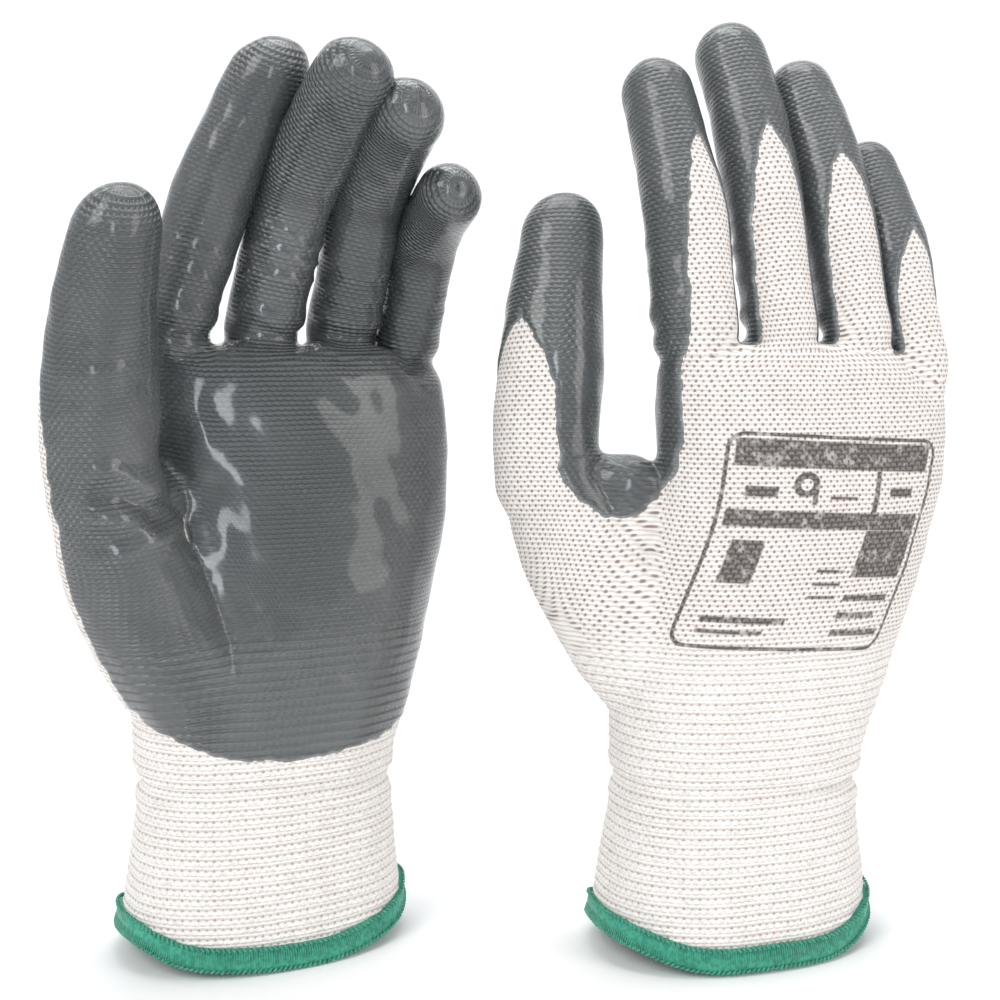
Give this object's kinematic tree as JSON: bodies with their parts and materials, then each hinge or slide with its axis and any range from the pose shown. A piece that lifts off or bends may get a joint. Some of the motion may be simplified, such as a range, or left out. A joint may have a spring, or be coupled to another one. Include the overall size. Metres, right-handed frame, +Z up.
{
  "type": "work gloves",
  "caption": "Pair of seamless knitted work gloves with ribbed cuffs, overlocked hems and dipped grip coats over palms and fingertips; wrists, fingers and thumbs bend.",
  "frame": {"origin": "on the surface the gloves stand on, in the middle of the pair's outline", "axes": "+Z up from the hems to the fingertips, +X across the pair from the left-hand glove to the right-hand glove, +Y away from the left glove's palm"},
  "size_m": [0.2378, 0.1032, 0.2488],
  "materials": {
    "white_knit": "matt white knitted nylon with rows of small holes",
    "grey_coat": "smooth glossy dark grey dipped coat with the knit showing through",
    "green_thread": "dense green overlock stitching",
    "dark_ink": "matt dark brown print on the knit"
  },
  "bodies": {
    "left_cuff": {"left_cuff": "white_knit", "left_hem": "green_thread"},
    "left_hand": {"left_palm_liner": "white_knit", "left_palm_coat": "grey_coat", "left_size_print": "dark_ink"},
    "left_thumb_base": {"left_thumb_base_liner": "white_knit", "left_thumb_base_coat": "grey_coat"},
    "left_thumb_tip": {"left_thumb_tip_liner": "white_knit", "left_thumb_tip_coat": "grey_coat"},
    "left_index_base": {"left_index_base_liner": "white_knit", "left_index_base_coat": "grey_coat"},
    "left_index_tip": {"left_index_tip_liner": "white_knit", "left_index_tip_coat": "grey_coat"},
    "left_middle_base": {"left_middle_base_liner": "white_knit", "left_middle_base_coat": "grey_coat"},
    "left_middle_tip": {"left_middle_tip_liner": "white_knit", "left_middle_tip_coat": "grey_coat"},
    "left_ring_base": {"left_ring_base_liner": "white_knit", "left_ring_base_coat": "grey_coat"},
    "left_ring_tip": {"left_ring_tip_liner": "white_knit", "left_ring_tip_coat": "grey_coat"},
    "left_little_base": {"left_little_base_liner": "white_knit", "left_little_base_coat": "grey_coat"},
    "left_little_tip": {"left_little_tip_liner": "white_knit", "left_little_tip_coat": "grey_coat"},
    "right_cuff": {"right_cuff": "white_knit", "right_hem": "green_thread"},
    "right_hand": {"right_palm_liner": "white_knit", "right_palm_coat": "grey_coat", "right_size_print": "dark_ink"},
    "right_thumb_base": {"right_thumb_base_liner": "white_knit", "right_thumb_base_coat": "grey_coat"},
    "right_thumb_tip": {"right_thumb_tip_liner": "white_knit", "right_thumb_tip_coat": "grey_coat"},
    "right_index_base": {"right_index_base_liner": "white_knit", "right_index_base_coat": "grey_coat"},
    "right_index_tip": {"right_index_tip_liner": "white_knit", "right_index_tip_coat": "grey_coat"},
    "right_middle_base": {"right_middle_base_liner": "white_knit", "right_middle_base_coat": "grey_coat"},
    "right_middle_tip": {"right_middle_tip_liner": "white_knit", "right_middle_tip_coat": "grey_coat"},
    "right_ring_base": {"right_ring_base_liner": "white_knit", "right_ring_base_coat": "grey_coat"},
    "right_ring_tip": {"right_ring_tip_liner": "white_knit", "right_ring_tip_coat": "grey_coat"},
    "right_little_base": {"right_little_base_liner": "white_knit", "right_little_base_coat": "grey_coat"},
    "right_little_tip": {"right_little_tip_liner": "white_knit", "right_little_tip_coat": "grey_coat"}
  },
  "joints": [
    {"name": "gloves_apart", "type": "slide", "parent": "left_cuff", "child": "right_cuff", "axis": [1, 0, 0], "range_m": [0, 0.12]},
    {"name": "left_wrist_bend", "type": "hinge", "parent": "left_cuff", "child": "left_hand", "pos_m": [-0.07385, 0.00869, 0.043], "axis": [0.8988, 0.4384, 0], "range_deg": [-25, 25], "stiffness_Nm_per_rad": 0.5},
    {"name": "left_thumb_base_bend", "type": "hinge", "parent": "left_hand", "child": "left_thumb_base", "pos_m": [-0.10776, -0.02788, 0.133], "axis": [0.7509, 0.6527, 0.101], "range_deg": [-25, 15], "stiffness_Nm_per_rad": 0.02},
    {"name": "left_thumb_middle_bend", "type": "hinge", "parent": "left_thumb_base", "child": "left_thumb_tip", "pos_m": [-0.10712, -0.03317, 0.16252], "axis": [0.7509, 0.6527, 0.101], "range_deg": [-12, 40], "stiffness_Nm_per_rad": 0.014},
    {"name": "left_index_base_bend", "type": "hinge", "parent": "left_hand", "child": "left_index_base", "pos_m": [-0.09064, -0.00228, 0.17499], "axis": [0.8792, 0.4288, -0.2079], "range_deg": [-15, 65], "stiffness_Nm_per_rad": 0.015},
    {"name": "left_index_middle_bend", "type": "hinge", "parent": "left_index_base", "child": "left_index_tip", "pos_m": [-0.08449, -0.00315, 0.19921], "axis": [0.8792, 0.4288, -0.2079], "range_deg": [-12, 60], "stiffness_Nm_per_rad": 0.0105},
    {"name": "left_middle_base_bend", "type": "hinge", "parent": "left_hand", "child": "left_middle_base", "pos_m": [-0.07029, 0.00709, 0.17523], "axis": [0.8877, 0.433, -0.1564], "range_deg": [-15, 65], "stiffness_Nm_per_rad": 0.015},
    {"name": "left_middle_middle_bend", "type": "hinge", "parent": "left_middle_base", "child": "left_middle_tip", "pos_m": [-0.06287, 0.00181, 0.20277], "axis": [0.8877, 0.433, -0.1564], "range_deg": [-12, 60], "stiffness_Nm_per_rad": 0.0105},
    {"name": "left_ring_base_bend", "type": "hinge", "parent": "left_hand", "child": "left_ring_base", "pos_m": [-0.05038, 0.01736, 0.17476], "axis": [0.8939, 0.436, -0.1045], "range_deg": [-15, 65], "stiffness_Nm_per_rad": 0.015},
    {"name": "left_ring_middle_bend", "type": "hinge", "parent": "left_ring_base", "child": "left_ring_tip", "pos_m": [-0.04431, 0.01103, 0.2003], "axis": [0.8939, 0.436, -0.1045], "range_deg": [-12, 60], "stiffness_Nm_per_rad": 0.0105},
    {"name": "left_little_base_bend", "type": "hinge", "parent": "left_hand", "child": "left_little_base", "pos_m": [-0.03212, 0.02737, 0.16661], "axis": [0.8976, 0.4378, -0.0523], "range_deg": [-15, 65], "stiffness_Nm_per_rad": 0.015},
    {"name": "left_little_middle_bend", "type": "hinge", "parent": "left_little_base", "child": "left_little_tip", "pos_m": [-0.02815, 0.02174, 0.18751], "axis": [0.8976, 0.4378, -0.0523], "range_deg": [-12, 60], "stiffness_Nm_per_rad": 0.0105},
    {"name": "right_wrist_bend", "type": "hinge", "parent": "right_cuff", "child": "right_hand", "pos_m": [0.05522, 0.00852, 0.043], "axis": [-0.9455, -0.3256, 0], "range_deg": [-25, 25], "stiffness_Nm_per_rad": 0.5},
    {"name": "right_thumb_base_bend", "type": "hinge", "parent": "right_hand", "child": "right_thumb_base", "pos_m": [0.00303, 0.00958, 0.133], "axis": [-0.9975, -0.0698, 0.0084], "range_deg": [-25, 15], "stiffness_Nm_per_rad": 0.02},
    {"name": "right_thumb_middle_bend", "type": "hinge", "parent": "right_thumb_base", "child": "right_thumb_tip", "pos_m": [0.00305, 0.0128, 0.16283], "axis": [-0.9975, -0.0698, 0.0084], "range_deg": [-12, 40], "stiffness_Nm_per_rad": 0.014},
    {"name": "right_index_base_bend", "type": "hinge", "parent": "right_hand", "child": "right_index_base", "pos_m": [0.04296, 0.00694, 0.17499], "axis": [-0.9449, -0.3254, -0.0349], "range_deg": [-15, 65], "stiffness_Nm_per_rad": 0.015},
    {"name": "right_index_middle_bend", "type": "hinge", "parent": "right_index_base", "child": "right_index_tip", "pos_m": [0.04088, 0.01036, 0.19967], "axis": [-0.9449, -0.3254, -0.0349], "range_deg": [-12, 60], "stiffness_Nm_per_rad": 0.0105},
    {"name": "right_middle_base_bend", "type": "hinge", "parent": "right_hand", "child": "right_middle_base", "pos_m": [0.06559, 0.01526, 0.17523], "axis": [-0.9432, -0.3248, -0.0698], "range_deg": [-15, 65], "stiffness_Nm_per_rad": 0.015},
    {"name": "right_middle_middle_bend", "type": "hinge", "parent": "right_middle_base", "child": "right_middle_tip", "pos_m": [0.06222, 0.0189, 0.2038], "axis": [-0.9432, -0.3248, -0.0698], "range_deg": [-12, 60], "stiffness_Nm_per_rad": 0.0105},
    {"name": "right_ring_base_bend", "type": "hinge", "parent": "right_hand", "child": "right_ring_base", "pos_m": [0.0874, 0.02224, 0.17476], "axis": [-0.9419, -0.3243, -0.0872], "range_deg": [-15, 65], "stiffness_Nm_per_rad": 0.015},
    {"name": "right_ring_middle_bend", "type": "hinge", "parent": "right_ring_base", "child": "right_ring_tip", "pos_m": [0.0834, 0.0268, 0.20107], "axis": [-0.9419, -0.3243, -0.0872], "range_deg": [-12, 60], "stiffness_Nm_per_rad": 0.0105},
    {"name": "right_little_base_bend", "type": "hinge", "parent": "right_hand", "child": "right_little_base", "pos_m": [0.10758, 0.02814, 0.16661], "axis": [-0.9403, -0.3238, -0.1045], "range_deg": [-15, 65], "stiffness_Nm_per_rad": 0.015},
    {"name": "right_little_middle_bend", "type": "hinge", "parent": "right_little_base", "child": "right_little_tip", "pos_m": [0.10374, 0.03244, 0.18784], "axis": [-0.9403, -0.3238, -0.1045], "range_deg": [-12, 60], "stiffness_Nm_per_rad": 0.0105}
  ]
}
